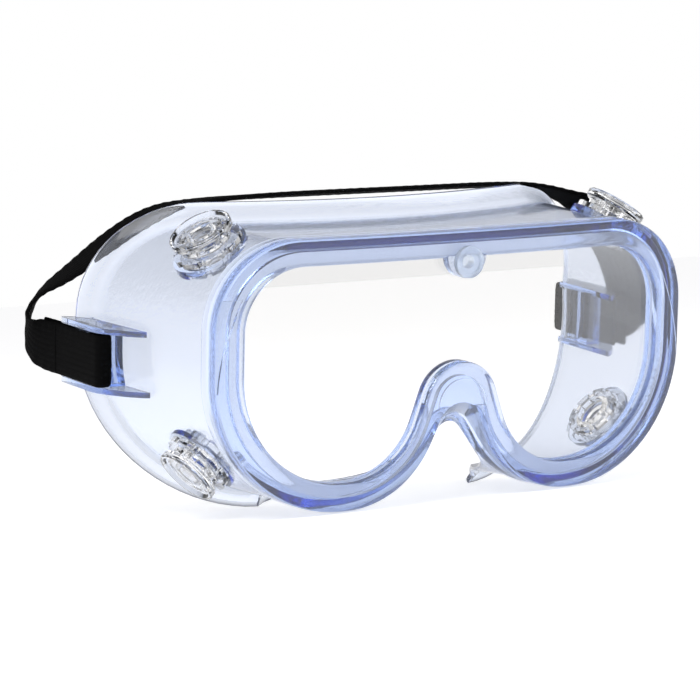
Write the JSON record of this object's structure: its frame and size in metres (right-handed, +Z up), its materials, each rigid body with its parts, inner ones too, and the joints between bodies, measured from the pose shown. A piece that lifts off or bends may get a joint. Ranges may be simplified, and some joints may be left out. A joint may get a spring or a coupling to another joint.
{
  "type": "safety goggles",
  "caption": "Wide indirect-vent safety goggles: soft clear blue body, clear wrap lens, round button vents at the corners and a black elastic headband.",
  "frame": {"origin": "middle of the goggles' box on the table they stand on, measured without the headband", "axes": "+X to the right as seen from in front, +Y from the lens towards the face, +Z up"},
  "size_m": [0.1971, 0.1027, 0.0932],
  "materials": {
    "soft_body": "glossy clear blue soft PVC",
    "lens": "polished clear polycarbonate",
    "clear_plastic": "glossy clear moulded plastic",
    "elastic": "ribbed woven elastic"
  },
  "bodies": {
    "frame": {"goggle_body": "soft_body", "lens": "lens", "lens_stud": "clear_plastic", "headband_loop_left": "elastic", "headband_loop_right": "elastic"},
    "vent_upper_left": {"vent_cap_upper_left": "clear_plastic", "vent_seat_upper_left": "clear_plastic"},
    "vent_upper_right": {"vent_cap_upper_right": "clear_plastic", "vent_seat_upper_right": "clear_plastic"},
    "vent_lower_left": {"vent_cap_lower_left": "clear_plastic", "vent_seat_lower_left": "clear_plastic"},
    "vent_lower_right": {"vent_cap_lower_right": "clear_plastic", "vent_seat_lower_right": "clear_plastic"},
    "headband": {"headband": "elastic"}
  },
  "joints": [
    {"name": "headband_swing", "type": "hinge", "parent": "frame", "child": "headband", "pos_m": [0, 0.02867, 0.04906], "axis": [1, 0, 0], "range_deg": [-110, 0]},
    {"name": "vent_upper_left_turn", "type": "hinge", "parent": "frame", "child": "vent_upper_left", "pos_m": [-0.06856, -0.01291, 0.07716], "axis": [-0.5286, -0.2056, 0.8236], "continuous": true},
    {"name": "vent_upper_right_turn", "type": "hinge", "parent": "frame", "child": "vent_upper_right", "pos_m": [0.06856, -0.01291, 0.07716], "axis": [0.5286, -0.2056, 0.8236], "continuous": true},
    {"name": "vent_lower_left_turn", "type": "hinge", "parent": "frame", "child": "vent_lower_left", "pos_m": [-0.06961, -0.00159, 0.01728], "axis": [-0.7413, 0.039, -0.67], "continuous": true},
    {"name": "vent_lower_right_turn", "type": "hinge", "parent": "frame", "child": "vent_lower_right", "pos_m": [0.06961, -0.00159, 0.01728], "axis": [0.7413, 0.039, -0.67], "continuous": true}
  ]
}
